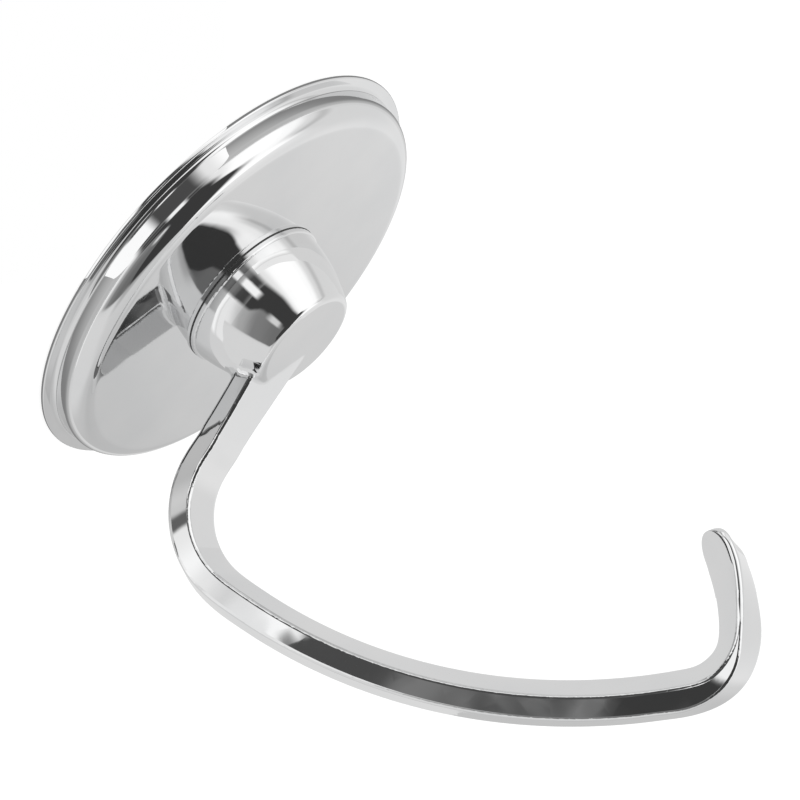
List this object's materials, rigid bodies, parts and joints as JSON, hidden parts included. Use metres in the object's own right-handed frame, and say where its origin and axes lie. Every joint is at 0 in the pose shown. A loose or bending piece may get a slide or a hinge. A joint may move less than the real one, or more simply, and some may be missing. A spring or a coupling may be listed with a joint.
{
  "type": "stand mixer dough hook",
  "caption": "Polished steel C-shaped dough hook with a conical hub, a dished guard disc and a blind drive socket that takes a mixer's pinned shaft.",
  "frame": {"origin": "centre of the drive bore's mouth, in the plane of the guard disc's flange", "axes": "+Z along the drive axis towards the hook, +X from the axis towards the arm, so the hook's centreline lies in the XZ plane"},
  "size_m": [0.108, 0.105, 0.144],
  "materials": {
    "hook_steel": "mirror-polished stainless steel casting",
    "disc_steel": "mirror-polished stainless steel sheet"
  },
  "bodies": {
    "root": {"hook": "hook_steel", "guard_disc": "disc_steel"}
  },
  "joints": []
}
